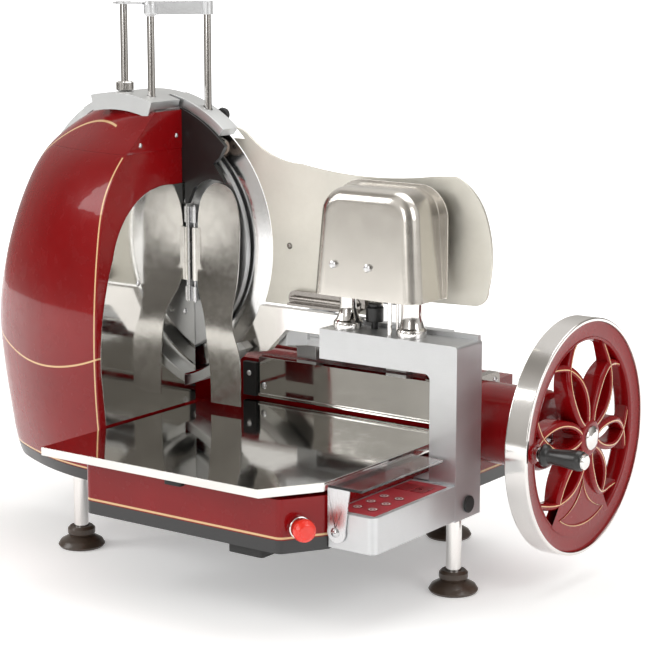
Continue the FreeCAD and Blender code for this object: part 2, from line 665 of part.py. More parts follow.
def rail_cover():
    y0, y1 = RAIL_PANEL_Y + 3, 458
    shell = box(-555, BASE_RIGHT, y0, y1, BASE_TOP, RAIL_TOP)
    hollow = box(-551, BASE_RIGHT - 4, y0 + 4, y1 - 4, BASE_TOP - 1, RAIL_TOP - 4)
    shell = shell.cut(hollow)
    return shell.cut(rod(12, V(BASE_RIGHT - 8, WHEEL_Y, WHEEL_Z), V(BASE_RIGHT + 8, WHEEL_Y, WHEEL_Z)))


def rail_panel():
    y0, y1 = RAIL_PANEL_Y, RAIL_PANEL_Y + 3
    plate = box(-262, BASE_RIGHT, y0, y1, TRAY_TOP + 3, RAIL_TOP + 4)
    flange = box(-262, BASE_RIGHT, y0, y0 + 14, RAIL_TOP, RAIL_TOP + 4)
    bead = box(-262, BASE_RIGHT, y0 - 2.5, y0, TRAY_TOP + 5, TRAY_TOP + 8)
    return fuse_all([plate, flange, bead])


def guide_rods():
    return Part.makeCompound([rod(ROD_R, V(-560, y, ROD_Z), V(ROD_END, y, ROD_Z)) for y in ROD_Y])


def end_bracket(x0, x1, z0):
    plate = soft_box(x0, x1, 364, 458, z0, 247, 9, X)
    for y in ROD_Y:
        plate = plate.cut(rod(ROD_R, V(x0 - 1, y, ROD_Z), V(x1 + 1, y, ROD_Z)))
    return plate


def rod_brackets():
    left = end_bracket(-560, -550, BASE_TOP).cut(box(-556, -500, 340, 470, BASE_TOP - 1, RAIL_TOP))
    right = end_bracket(ROD_END - 14, ROD_END - 2, RAIL_TOP)
    outer = soft_box(BASE_RIGHT, BASE_RIGHT + 12, 350, 407, 190, 231, 7, X)
    outer = outer.cut(rod(HOUSING_R, V(40, WHEEL_Y, WHEEL_Z), V(70, WHEEL_Y, WHEEL_Z)))
    return Part.makeCompound([left, right, outer])


def carriage_frame():
    plate = box(CARRIAGE_X0 + 4, CARRIAGE_X1, 364, 458, 247, TABLE_Z0)
    lugs = []
    for y in ROD_Y:
        for x in (CARRIAGE_X0 + 4, CARRIAGE_X1 - 30):
            lugs.append(box(x, x + 30, y - 14, y + 14, 220.5, 247))
    frame = fuse_all([plate] + lugs)
    for y in ROD_Y:
        frame = frame.cut(rod(ROD_R + RUN, V(CARRIAGE_X0, y, ROD_Z), V(CARRIAGE_X1 + 4, y, ROD_Z)))
    return frame


def meat_table():
    x0, x1, z0, z1 = CARRIAGE_X0, CARRIAGE_X1, TABLE_Z0, TABLE_Z1
    plan = [(x0, 303, z0), (-186, 303, z0), (-166, 318, z0), (x1, 318, z0), (x1, TABLE_BACK, z0),
            (x0, TABLE_BACK, z0)]
    table = prism(plan, V(0, 0, z1 - z0))
    nose_plan = [(x0, 303, z1), (-186, 303, z1), (-166, 318, z1), (-166, 324, z1), (x0, 324, z1)]
    nose = prism(nose_plan, V(0, 0, NOSE_HEIGHT))
    ribs = [box(x0 + 24, x1 - 6, y, y + 3, z1, z1 + 1.5) for y in range(335, 470, 15)]
    post = box(x0, x0 + 14, TABLE_BACK - 12, TABLE_BACK, z1, PUSHER_ROD.z + 9)
    front_post = box(x0, x0 + 14, 312, 324, z1 + NOSE_HEIGHT, PUSHER_ROD.z + 9)
    body = fuse_all([table, nose, post, front_post] + ribs)
    guide = rod(PUSHER_ROD_R, PUSHER_ROD, V(PUSHER_ROD.x, TABLE_BACK, PUSHER_ROD.z))
    return Part.makeCompound([body.cut(guide), guide])


def meat_pusher():
    """Upright toothed plate on a sleeve, pushed forwards along its rod by the knob behind it."""
    start, end = [V(PUSHER_ROD.x, y, PUSHER_ROD.z) for y in (432, 464)]
    plate = soft_box(CARRIAGE_X0 + 6, -112, 446, 450, 286, 388, 10, Y)
    web = box(PUSHER_ROD.x - 3, PUSHER_ROD.x + 20, 446, 450, 282, 300)
    teeth = []
    for row in range(4):
        for column in range(5):
            at = V(CARRIAGE_X0 + 22 + column * 18, 447, 304 + row * 21)
            teeth.append(Part.makeCone(2.4, 0.4, 9, at, -Y))
    stem = rod(4, V(-165, 450, 340), V(-165, 470, 340))
    knob = rod(9, V(-165, 470, 340), V(-165, 476, 340))
    body = fuse_all([rod(8.5, start, end), plate, web, stem, knob] + teeth)
    return body.cut(rod(PUSHER_ROD_R + RUN, start - Y, end + Y))


# ---------------------------------------------------------------- flywheel

def shaft_housing():
    profile = [(40, 0), (HOUSING_R, 0), (HOUSING_R, 98), (HOUSING_R - 3, 104), (HOUSING_R - 10, 107),
               (15, 107), (15, 92), (40, 92), (40, 18), (15, 18), (15, 2), (40, 2)]
    return turned(profile, V(BASE_RIGHT, WHEEL_Y, WHEEL_Z), X)


def wheel_shaft():
    """Flywheel shaft; the disc on its inner end drives the carriage mechanism inside the rail cover."""
    shaft = rod(WHEEL_SHAFT_R, V(18, WHEEL_Y, WHEEL_Z), V(WHEEL_FACE - 4, WHEEL_Y, WHEEL_Z))
    disc = rod(11.5, V(20, WHEEL_Y, WHEEL_Z), V(28, WHEEL_Y, WHEEL_Z))
    return fuse_all([shaft, disc])


def petal(degrees):
    """Leaf-shaped loop from the hub to its tip, with two struts that spread to the rim."""
    tip, root, half_width, bar = 90, 14, 23, 8.5
    middle, half = (tip + root) / 2, (tip - root) / 2
    radius = (half ** 2 + half_width ** 2) / (2 * half_width)
    offset = radius - half_width
    x0, x1 = WHEEL_FACE - 19, WHEEL_FACE - 5

    def lens(r):
        discs = []
        for side in (-1, 1):
            discs.append(rod(r, V(x0, middle, side * offset), V(x1, middle, side * offset)))
        return discs[0].common(discs[1])

    loop = lens(radius + bar / 2).cut(lens(radius - bar / 2))
    struts = []
    for side in (-1, 1):
        struts.append(prism([(x0, tip - 6, side * 1), (x0, tip - 2, side * -6), (x0, 117, side * 18),
                             (x0, 117, side * 29)], V(x1 - x0, 0, 0)))
    leaf = fuse_all([loop] + struts)
    opening = lens(radius - bar / 2)
    for shape in (leaf, opening):
        shape.rotate(V(0, 0, 0), X, degrees)
        shape.translate(V(0, WHEEL_Y, WHEEL_Z))
    return leaf, opening


def flywheel():
    x0, x1 = WHEEL_FACE - WHEEL_DEPTH + 3, WHEEL_FACE - 2
    centre = V(0, WHEEL_Y, WHEEL_Z)
    rim = tube(WHEEL_R - 4, 113, centre + X * x0, centre + X * x1)
    hub = rod(22, centre + X * (WHEEL_FACE - 34), V(HUB_FACE, WHEEL_Y, WHEEL_Z))
    leaves, openings = [], []
    for degrees in PETAL_ANGLES:
        leaf, opening = petal(degrees)
        leaves.append(leaf)
        openings.append(opening)
    web_x = WHEEL_FACE - 17
    ring_edge = [wheel_point(114, a, web_x) for a in range(-124, -71, 4)]
    neck = [wheel_point(60, -89, web_x), wheel_point(26, -80, web_x), wheel_point(26, -116, web_x),
            wheel_point(60, -107, web_x)]
    corners = ring_edge + neck
    web = Part.Face(Part.makePolygon(corners + corners[:1])).extrude(X * 9)
    for opening in openings:
        web = web.cut(opening)
    grip_in, grip_out = [wheel_point(GRIP_RADIUS, GRIP_ANGLE, x) for x in (x0, x1)]
    boss = rod(13, grip_in, grip_out)
    wheel = fuse_all([rim, hub, web, boss] + leaves)
    wheel = wheel.cut(rod(WHEEL_SHAFT_R, centre + X * (WHEEL_FACE - 40), centre + X * (WHEEL_FACE - 4)))
    return wheel.cut(rod(SPINDLE_R, grip_in - X * 5, grip_out + X * 5))


def wheel_band():
    centre = V(0, WHEEL_Y, WHEEL_Z)
    band = tube(WHEEL_R, WHEEL_R - 4, centre + X * (WHEEL_FACE - WHEEL_DEPTH), centre + X * WHEEL_FACE)
    outer = [e for e in band.Edges if isinstance(e.Curve, Part.Circle) and e.Curve.Radius > WHEEL_R - 1]
    return band.makeFillet(1.5, outer)


def hub_cap():
    profile = [(0, 0), (14, 0), (14, 1.5), (12, 3), (7, 4.5), (0, 5)]
    return turned(profile, V(HUB_FACE, WHEEL_Y, WHEEL_Z), X)


def grip_spindle():
    """Axle of the grip with its steel shank against the wheel and its cap at the outer end."""
    start = WHEEL_FACE - 25
    face, cap = WHEEL_FACE - 2 - start, GRIP_START + GRIP_LENGTH + 0.4 - start
    profile = [(0, 0), (SPINDLE_R, 0), (SPINDLE_R, face), (8, face), (8, face + 5), (SPINDLE_R, face + 8),
               (SPINDLE_R, cap), (9, cap), (9, cap + 2), (7, cap + 3.6), (0, cap + 4)]
    return turned(profile, wheel_point(GRIP_RADIUS, GRIP_ANGLE, start), X)


def grip():
    bore = SPINDLE_R + RUN
    profile = [(bore, 0), (9.5, 0), (12.5, 2.5), (12.7, 5), (11, 8), (9, 10), (8.7, 13), (9.4, 24), (11, 38),
               (11.6, 46), (10.8, 50.5), (9.5, GRIP_LENGTH), (bore, GRIP_LENGTH)]
    return turned(profile, wheel_point(GRIP_RADIUS, GRIP_ANGLE, GRIP_START), X)


# ---------------------------------------------------------------- control panel

PANEL_X0, PANEL_X1 = 46, 106
PANEL_Y0 = 66
PANEL_TOP = 134
PIVOT = V(57, PANEL_Y0, 112)


def panel_box():
    block = box(PANEL_X0, PANEL_X1, PANEL_Y0, FRAME_FRONT, BASE_BOTTOM + 3, PANEL_TOP)
    corner = [e for e in along(block, Z) if e.CenterOfMass.x > 100 and e.CenterOfMass.y < 70]
    block = block.makeFillet(9, corner)
    hollow = box(PANEL_X0 + 3, PANEL_X1 - 3, PANEL_Y0 + 3, FRAME_FRONT - 3, BASE_BOTTOM, PANEL_TOP - 3)
    block = block.cut(hollow)
    seat = box(PANEL_X0 + 5, PANEL_X1 - 6, PANEL_Y0 + 10, FRAME_FRONT - 8, PANEL_TOP - 1, PANEL_TOP + 1)
    back = box(PANEL_X0 - 1, PANEL_X0, 90, 220, 108, 130)
    return fuse_all([block.cut(seat), back])


def panel_membrane():
    x0, x1 = PANEL_X0 + 5, PANEL_X1 - 6
    return soft_box(x0, x1, PANEL_Y0 + 10, FRAME_FRONT - 8, PANEL_TOP - 1, PANEL_TOP + 0.4, 2)


def panel_keys():
    """Raised keys and the two dark display windows of the membrane."""
    keys = []
    for row in range(3):
        for column in range(2):
            x, y = PANEL_X0 + 18 + column * 20, PANEL_Y0 + 30 + row * 26
            keys.append(rod(6, V(x, y, PANEL_TOP + 0.4), V(x, y, PANEL_TOP + 1.0)))
    y = FRAME_FRONT - 48
    windows = [soft_box(x, x + 18, y, y + 26, PANEL_TOP + 0.4, PANEL_TOP + 0.9, 2)
               for x in (PANEL_X0 + 8, PANEL_X0 + 29)]
    return Part.makeCompound(keys + windows)


def panel_cover():
    z0, z1 = TRAY_TOP - 4, TRAY_TOP - 1
    return soft_box(PANEL_X0 + 1, PANEL_X0 + 46, PANEL_Y0 - 3, FRAME_FRONT - 4, z0, z1, 1.4)


def cover_bracket():
    y0, y1 = PANEL_Y0 - 3, PANEL_Y0 - 0.6
    left, top = PANEL_X0 + 1, TRAY_TOP - 4
    plate = prism([(left, y0, top), (PANEL_X0 + 30, y0, top), (PANEL_X0 + 24, y0, PIVOT.z),
                   (left, y0, PIVOT.z)], V(0, y1 - y0, 0))
    end = rod(12, V(PIVOT.x + 1.5, y0, PIVOT.z), V(PIVOT.x + 1.5, y1, PIVOT.z))
    plate = fuse_all([plate, end])
    return plate.cut(rod(3 + RUN, V(PIVOT.x, y0 - 1, PIVOT.z), V(PIVOT.x, y1 + 1, PIVOT.z)))


# ---------------------------------------------------------------- tray

TRAY_LEFT, TRAY_RIGHT, TRAY_BACK = -316, 42, 340


def tray():
    def plan(inset, z0, z1):
        i = inset
        points = [(TRAY_LEFT + i, i, z0), (-i * 0.45, i, z0), (TRAY_RIGHT - i, 65 + i * 0.45, z0),
                  (TRAY_RIGHT - i, TRAY_BACK - i, z0), (TRAY_LEFT + i, TRAY_BACK - i, z0)]
        return prism(points, V(0, 0, z1 - z0))
    return plan(0, TRAY_TOP - TRAY_LIP, TRAY_TOP).cut(plan(3, TRAY_TOP - TRAY_LIP - 1, TRAY_TOP - 3))


# ---------------------------------------------------------------- small shared pieces

def screws():
    """Domed screws, hexagon screws and the cover's pivot, all held in fixed pieces."""
    heads = [dome_screw(V(CASE_RIGHT, y, z), X, 3.0) for y, z in ((258, 505), (190, 498))]
    plate_x = CASE_RIGHT + SIDE_PLATE_T
    heads += [dome_screw(V(plate_x, y, z), X) for y, z in ((273, 423), (179, 332), (268, 284))]
    heads += [dome_screw(blade_point(134, a, 287), -Y, 3.5) for a in (13, -42)]
    heads += [turned([(0, 0), (4.5, 0), (4.5, 3), (2.5, 4), (0, 4)], V(x, 219.2, 375), -Y) for x in (-56, -8)]
    heads += [dome_screw(V(-274, 340, 198), -Y, 3.5), dome_screw(V(-254, RAIL_PANEL_Y, 183), -Y, 4.5)]
    heads.append(dome_screw(V(BASE_RIGHT + 12, 396, 221), X, 4.5))
    y0 = PANEL_Y0 - 3.3
    pin = rod(3, V(PIVOT.x, y0, PIVOT.z), V(PIVOT.x, PANEL_Y0, PIVOT.z))
    heads.append(fuse_all([pin, dome_screw(V(PIVOT.x, y0, PIVOT.z), -Y, 5.5)]))
    return Part.makeCompound(heads)


def black_fittings():
    """Rubber and plastic pieces: front lug, tray pads and stop, leg plug, rail block and guard knob."""
    parts = [soft_box(-62, -14, 26, 52, BASE_BOTTOM - 11, BASE_BOTTOM, 4)]
    spots = ((-250, 60), (-20, 60), (-250, 290), (20, 290))
    parts += [rod(9, V(x, y, BASE_TOP), V(x, y, TRAY_TOP - 3)) for x, y in spots]
    parts.append(soft_box(-140, -116, 10, 20, 147, TRAY_TOP - TRAY_LIP, 3, Z))
    parts.append(turned([(0, 0), (10, 0), (10, 2), (8.5, 3), (0, 3)], V(FRAME_RIGHT, 258, 107), X))
    parts.append(soft_box(-284, -263, 340, RAIL_PANEL_Y + 3, TRAY_TOP + 4, 212, 1.5, Z))
    knob = [(0, 0), (3.5, 0), (3.5, 3), (8, 4), (9, 7), (8, 11), (5, 13), (0, 13.5)]
    parts.append(turned(knob, blade_point(184, 60, 302), Y))
    return Part.makeCompound(parts)


BUILDERS = (
    base_body, base_band, foot_posts, foot_pads, power_inlet, estop_collar, estop_button,
    casing_body, casing_cap, side_plate, screws, black_fittings,
    blade, blade_shaft, bearings, bearing_housing, motor_body, motor_pulley, drive_belt,
    blade_cover, blade_guard, top_guard,
    sharpener_bridge, sharpener_housing, sharpener_posts, sharpener_bar, lock_collar, stone_arm,
    grinding_stone, honing_stone, deflector, deflector_hinge,
    gauge_plate, gauge_carrier, slide_block, gauge_cover, support_columns, thickness_knob,
    support_frame, lower_guard_bar, rail_cover, rail_panel, guide_rods, rod_brackets,
    carriage_frame, meat_table, meat_pusher,
    shaft_housing, wheel_shaft, flywheel, wheel_band, hub_cap, grip_spindle, grip,
    panel_box, panel_membrane, panel_keys, panel_cover, cover_bracket, tray)

os.makedirs("parts", exist_ok=True)
for build in BUILDERS:
    shape = build()
    shape.translate(FRAME_SHIFT)
    shape.exportStep("parts/" + build.__name__ + ".step")
    print(build.__name__, len(shape.Solids), "solids", "valid" if shape.isValid() else "not valid")
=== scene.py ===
import math

import bmesh
import bpy
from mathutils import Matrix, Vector


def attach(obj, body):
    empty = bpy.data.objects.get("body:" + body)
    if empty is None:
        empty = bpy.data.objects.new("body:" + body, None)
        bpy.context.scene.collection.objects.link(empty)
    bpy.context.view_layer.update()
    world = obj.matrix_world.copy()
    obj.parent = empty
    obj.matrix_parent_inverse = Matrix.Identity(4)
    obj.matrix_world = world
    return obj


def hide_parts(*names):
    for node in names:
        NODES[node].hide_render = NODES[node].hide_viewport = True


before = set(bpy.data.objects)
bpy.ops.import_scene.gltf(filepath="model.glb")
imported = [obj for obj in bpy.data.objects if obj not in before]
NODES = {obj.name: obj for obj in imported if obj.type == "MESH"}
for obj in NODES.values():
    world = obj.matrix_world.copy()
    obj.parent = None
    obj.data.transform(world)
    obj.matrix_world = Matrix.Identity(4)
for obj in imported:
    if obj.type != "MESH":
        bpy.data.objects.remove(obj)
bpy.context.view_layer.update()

# Everything is in metres in the part's own frame. The named points below repeat part.py's dimensions.
SHIFT = Vector((0.1590, -0.25148, 0.0))


def at(x, y, z):
    """A point given in part.py's working millimetres."""
    return Vector((x, y, z)) / 1000 + SHIFT


WHEEL_Y, WHEEL_Z = at(0, 364, 178).yz


# ---------------------------------------------------------------- shader helpers

class Graph:
    """A material's node tree with short calls for the nodes that are used again and again."""

    def __init__(self, name):
        self.material = bpy.data.materials.new(name)
        self.material.use_nodes = True
        self.tree = self.material.node_tree
        self.shader = self.tree.nodes["Principled BSDF"]
        self.place = self.add("ShaderNodeTexCoord").outputs["Object"]

    def add(self, kind, **settings):
        node = self.tree.nodes.new(kind)
        for key, value in settings.items():
            setattr(node, key, value)
        return node

    def put(self, socket, value):
        if isinstance(value, bpy.types.NodeSocket):
            self.tree.links.new(value, socket)
        else:
            socket.default_value = value

    def set(self, **values):
        for key, value in values.items():
            self.put(self.shader.inputs[key.replace("_", " ")], value)

    def math(self, operation, a, b=0.0, c=0.0):
        node = self.add("ShaderNodeMath", operation=operation)
        for socket, value in zip(node.inputs, (a, b, c)):
            self.put(socket, value)
        return node.outputs[0]

    def stretched(self, scale):
        node = self.add("ShaderNodeMapping")
        self.put(node.inputs["Vector"], self.place)
        node.inputs["Scale"].default_value = scale
        return node.outputs["Vector"]

    def noise(self, scale, detail=4.0, stretch=(1, 1, 1)):
        node = self.add("ShaderNodeTexNoise")
        self.put(node.inputs["Vector"], self.stretched(stretch))
        node.inputs["Scale"].default_value = scale
        node.inputs["Detail"].default_value = detail
        return node.outputs["Fac"]

    def spread(self, value, low, high, start=0.3, end=0.7):
        node = self.add("ShaderNodeMapRange")
        self.put(node.inputs["Value"], value)
        for key, number in (("From Min", start), ("From Max", end), ("To Min", low), ("To Max", high)):
            node.inputs[key].default_value = number
        return node.outputs["Result"]

    def blend(self, factor, a, b):
        node = self.add("ShaderNodeMix", data_type="RGBA")
        self.put(node.inputs["Factor"], factor)
        self.put(node.inputs["A"], a)
        self.put(node.inputs["B"], b)
        return node.outputs["Result"]

    def bump(self, height, depth, strength=1.0):
        node = self.add("ShaderNodeBump")
        self.put(node.inputs["Height"], height)
        node.inputs["Distance"].default_value = depth
        node.inputs["Strength"].default_value = strength
        self.set(Normal=node.outputs["Normal"])

    def axes(self):
        node = self.add("ShaderNodeSeparateXYZ")
        self.put(node.inputs["Vector"], self.place)
        return node.outputs


def rgb(r, g, b):
    return (r, g, b, 1.0)


def tint(colour, factor):
    return (colour[0] * factor, colour[1] * factor, colour[2] * factor, 1.0)


RED = rgb(0.215, 0.0016, 0.0030)
GOLD = rgb(0.72, 0.48, 0.25)


def lacquer(name, colour, stripes=None):
    """Glossy coach paint with faint mottling, fine orange peel and optional gold pinstripes."""
    g = Graph(name)
    cloud = g.noise(9.0, 3.0)
    paint = g.blend(g.spread(cloud, 0.0, 1.0), tint(colour, 0.86), tint(colour, 1.1))
    if stripes:
        paint = g.blend(stripes(g), paint, GOLD)
    g.set(Base_Color=paint, Roughness=g.spread(g.noise(60.0), 0.2, 0.3))
    g.set(Coat_Weight=0.4, Coat_Roughness=0.03, Specular_IOR_Level=0.15)
    g.bump(g.noise(420.0, 2.0), 0.00002, 0.3)
    return g.material


def near(g, value, target, half):
    """1 where a value lies within half of the target, with a soft edge."""
    distance = g.math("ABSOLUTE", g.math("SUBTRACT", value, target))
    return g.spread(distance, 1.0, 0.0, half * 0.8, half * 1.2)


def metal(name, colour, rough, spread, grain=(1, 1, 1), grain_scale=900.0, depth=0.00004, coat=0.0):
    """Bare metal: cloudy tone, streaked roughness along the grain, and a very fine surface relief."""
    g = Graph(name)
    streak = g.noise(grain_scale, 3.0, grain)
    cloud = g.noise(14.0, 4.0)
    g.set(Base_Color=g.blend(g.spread(cloud, 0.0, 1.0), tint(colour, 0.9), colour), Metallic=1.0)
    rough_mix = g.math("ADD", g.spread(streak, rough, rough + spread), g.spread(cloud, 0.0, spread * 0.6))
    g.set(Roughness=rough_mix, Coat_Weight=coat)
    g.bump(streak, depth, 0.5)
    return g.material


def plastic(name, colour, rough, grain=1400.0, depth=0.00005, coat=0.0):
    g = Graph(name)
    wear = g.noise(30.0, 5.0)
    g.set(Base_Color=g.blend(g.spread(wear, 0.0, 1.0), tint(colour, 0.85), tint(colour, 1.15)))
    g.set(Roughness=g.spread(wear, rough, rough + 0.12), Coat_Weight=coat, Coat_Roughness=0.08)
    g.bump(g.noise(grain, 2.0), depth, 0.4)
    return g.material


def clear_plastic(name):
    g = Graph(name)
    scuff = g.noise(40.0, 6.0, (1, 4, 1))
    g.set(Base_Color=rgb(0.93, 0.95, 0.97), Roughness=g.spread(scuff, 0.02, 0.10))
    g.set(Transmission_Weight=1.0, IOR=1.45)
    g.bump(scuff, 0.00003, 0.3)
    return g.material


def stone(name):
    g = Graph(name)
    grit = g.noise(2600.0, 2.0)
    g.set(Base_Color=g.blend(grit, rgb(0.10, 0.08, 0.07), rgb(0.42, 0.33, 0.27)), Roughness=0.9)
    g.bump(grit, 0.0003, 0.8)
    return g.material


# ---------------------------------------------------------------- the materials

FOOT_STRIPE_HEIGHT = 0.1075


def casing_stripes(g):
    """Pinstripes of the casing: beside the front right crease, above the seam and low on the front."""
    x, y, z = g.axes()
    below = g.math("LESS_THAN", z, 0.486)
    crease = g.math("MULTIPLY", near(g, x, at(-323.5, 0, 0).x, 0.0011), below)
    low = near(g, z, bowed(g, x, -432, 1.71, 0.2285), 0.0011)
    on_cap = g.math("LESS_THAN", x, at(-368, 0, 0).x)
    cap = g.math("MULTIPLY", near(g, z, bowed(g, x, -397, -4.8, 0.522), 0.0011), on_cap)
    foot = near(g, z, FOOT_STRIPE_HEIGHT, 0.0011)
    front = g.math("LESS_THAN", y, at(0, 225, 0).y)
    lines = g.math("MAXIMUM", g.math("MAXIMUM", crease, foot), g.math("MAXIMUM", cap, low))
    return g.math("MULTIPLY", lines, front)


def bowed(g, x, middle, bend, height):
    """Height of a line that bends away from its middle as a parabola."""
    across = g.math("SUBTRACT", x, at(middle, 0, 0).x)
    return g.math("MULTIPLY_ADD", g.math("MULTIPLY", across, across), bend, height)


def base_stripes(g):
    return near(g, g.axes()[2], FOOT_STRIPE_HEIGHT, 0.0012)


KEY_AT, KEY_STEP_X, KEY_STEP_Y = at(64, 96, 0), 0.020, 0.026
KEY_RING_R, KEY_DOT_R = 0.0041, 0.0013


def key_film(name):
    """Dark red printed film with a white ring and dot on each key; the windows at the back stay plain."""
    g = Graph(name)
    x, y, _ = g.axes()
    across = g.math("WRAP", g.math("SUBTRACT", x, KEY_AT.x), KEY_STEP_X / 2, -KEY_STEP_X / 2)
    along = g.math("WRAP", g.math("SUBTRACT", y, KEY_AT.y), KEY_STEP_Y / 2, -KEY_STEP_Y / 2)
    squares = g.math("MULTIPLY_ADD", across, across, g.math("MULTIPLY", along, along))
    radius = g.math("SQRT", squares)
    ring = g.math("MAXIMUM", near(g, radius, KEY_RING_R, 0.0006), near(g, radius, 0.0, KEY_DOT_R))
    on_key = g.math("LESS_THAN", y, at(0, 172, 0).y)
    wear = g.noise(60.0)
    film = g.blend(g.spread(wear, 0.0, 1.0), rgb(0.20, 0.008, 0.012), rgb(0.25, 0.010, 0.015))
    g.set(Base_Color=g.blend(g.math("MULTIPLY", ring, on_key), film, rgb(0.8, 0.78, 0.74)))
    g.set(Roughness=g.spread(wear, 0.25, 0.35))
    g.bump(g.noise(900.0, 2.0), 0.00002, 0.3)
    return g.material


MIRROR = rgb(0.78, 0.77, 0.74)
STEEL = rgb(0.66, 0.66, 0.67)

MATERIALS = {
    "casing": lacquer("casing_paint", RED, casing_stripes),
    "base": lacquer("base_paint", RED, base_stripes),
    "gold": lacquer("pinstripe_gold", GOLD),
    "red": lacquer("plain_red_paint", RED),
    "black_paint": plastic("black_paint", rgb(0.012, 0.012, 0.013), 0.28, 600.0, 0.00004, 0.3),
    "chrome": metal("chrome_plate", rgb(0.80, 0.78, 0.76), 0.10, 0.02, (1, 1, 1), 200.0, 0.000002),
    "leaf": metal("deflector_steel", rgb(0.72, 0.70, 0.67), 0.15, 0.06, (1, 1, 1), 120.0, 0.0000005),
    "mirror": metal("polished_steel", MIRROR, 0.03, 0.05, (1, 1, 1), 90.0, 0.0000003),
    "blade": metal("blade_steel", rgb(0.8, 0.8, 0.8), 0.10, 0.10, (1, 1, 1), 300.0, 0.0000006),
    "gauge": metal("gauge_steel", rgb(0.80, 0.78, 0.71), 0.42, 0.10, (1, 1, 1), 150.0, 0.0000006),
    "cast": metal("cast_aluminium", rgb(0.64, 0.65, 0.65), 0.34, 0.12, (1, 1, 1), 1500.0, 0.000005),
    "cover": metal("cover_aluminium", rgb(0.70, 0.67, 0.62), 0.20, 0.03, (1, 1, 1), 60.0, 0.000002),
    "satin": metal("satin_aluminium", rgb(0.66, 0.67, 0.68), 0.36, 0.10, (1, 1, 12), 120.0, 0.000001),
    "steel": metal("brushed_steel", STEEL, 0.16, 0.12, (30, 1, 1), 120.0, 0.000003),
    "dark_steel": metal("dark_steel", rgb(0.30, 0.28, 0.26), 0.16, 0.10, (1, 1, 1), 300.0, 0.0000008),
    "iron": metal("motor_iron", rgb(0.10, 0.11, 0.12), 0.45, 0.15, (1, 1, 1), 900.0, 0.0002),
    "bronze": plastic("bronze_rubber", rgb(0.060, 0.040, 0.028), 0.34, 500.0, 0.0001, 0.2),
    "rubber": plastic("black_rubber", rgb(0.015, 0.015, 0.015), 0.55, 900.0, 0.0001),
    "black": plastic("black_plastic", rgb(0.012, 0.012, 0.012), 0.28, 300.0, 0.00002, 0.15),
    "stop": plastic("stop_button_red", rgb(0.80, 0.03, 0.015), 0.22, 500.0, 0.00003, 0.4),
    "membrane": plastic("membrane_film", rgb(0.38, 0.02, 0.03), 0.35, 900.0, 0.00003),
    "keys": key_film("key_film"),
    "clear": clear_plastic("clear_cover"),
    "stone": stone("sharpening_stone"),
}

NODE_MATERIAL = {
    "base_body": "base", "base_band": "black_paint", "foot_posts": "chrome", "foot_pads": "bronze",
    "power_inlet": "black", "estop_collar": "chrome", "estop_button": "stop",
    "casing_body": "casing", "casing_cap": "casing", "side_plate": "mirror", "screws": "steel",
    "black_fittings": "rubber", "blade": "blade", "blade_shaft": "steel", "bearings": "steel",
    "bearing_housing": "cast", "motor_body": "iron", "motor_pulley": "steel", "drive_belt": "rubber",
    "blade_cover": "satin", "blade_guard": "cast", "top_guard": "cast",
    "sharpener_bridge": "cast", "sharpener_housing": "black", "sharpener_posts": "chrome",
    "sharpener_bar": "satin", "lock_collar": "chrome", "stone_arm": "dark_steel", "grinding_stone": "stone",
    "honing_stone": "stone", "deflector": "leaf", "deflector_hinge": "steel", "gauge_plate": "gauge",
    "gauge_carrier": "dark_steel", "slide_block": "cast", "gauge_cover": "cover",
    "support_columns": "chrome", "thickness_knob": "black", "support_frame": "satin",
    "lower_guard_bar": "chrome", "rail_cover": "red", "rail_panel": "mirror", "guide_rods": "chrome",
    "rod_brackets": "dark_steel", "carriage_frame": "cast", "meat_table": "satin",
    "meat_pusher": "satin", "shaft_housing": "red", "wheel_shaft": "steel", "flywheel": "red",
    "wheel_band": "chrome", "hub_cap": "chrome", "grip_spindle": "chrome", "grip": "black",
    "panel_box": "satin", "panel_membrane": "membrane", "panel_keys": "keys", "panel_cover": "clear",
    "cover_bracket": "steel", "tray": "mirror"}

ROUNDED = {"support_frame": 0.8, "tray": 0.8, "base_body": 1.2, "base_band": 0.8, "casing_body": 1.0,
           "casing_cap": 1.0, "flywheel": 1.4, "meat_table": 0.6, "rail_panel": 0.5, "panel_box": 0.8,
           "gauge_plate": 0.6, "gauge_carrier": 0.6, "blade_guard": 0.8, "sharpener_bridge": 0.9,
           "top_guard": 0.8, "lower_guard_bar": 0.8, "rod_brackets": 0.8, "rail_cover": 0.8,
           "side_plate": 0.4, "black_fittings": 0.5, "foot_posts": 0.3, "carriage_frame": 0.6,
           "panel_cover": 0.5, "cover_bracket": 0.4, "shaft_housing": 0.5, "meat_pusher": 0.3,
           "sharpener_bar": 0.6, "grip_spindle": 0.3, "hub_cap": 0.3, "gauge_cover": 0.4}


def dress(node, name):
    """Gives a CAD node its material, smooth shading and slightly rounded edges."""
    piece = NODES[node]
    piece.data.materials.clear()
    piece.data.materials.append(MATERIALS[name])
    weld = piece.modifiers.new("weld", "WELD")
    weld.merge_threshold = 0.00001
    width = ROUNDED.get(node, 0.15) / 1000
    bevel = piece.modifiers.new("rounded_edges", "BEVEL")
    bevel.width = width
    bevel.segments = 2
    bevel.limit_method = "ANGLE"
    bevel.angle_limit = math.radians(32)
    split = piece.modifiers.new("crisp_edges", "EDGE_SPLIT")
    split.split_angle = math.radians(50)
    even = piece.modifiers.new("flat_faces", "WEIGHTED_NORMAL")
    even.weight = 100
    for face in piece.data.polygons:
        face.use_smooth = True


for node_name, material_name in NODE_MATERIAL.items():
    dress(node_name, material_name)


# ---------------------------------------------------------------- the cast flywheel

WHEEL_FACE = 0.198
RIM_IN, RIM_OUT, RIM_BACK = 0.113, 0.135, 0.175
HUB_R, HUB_FACE = 0.022, 0.206
# Each petal's direction in degrees and the distance of its tip.
PETALS = ((113.5, 0.092), (51, 0.095), (-6, 0.097), (-58.5, 0.089), (-128.8, 0.088), (170, 0.097))
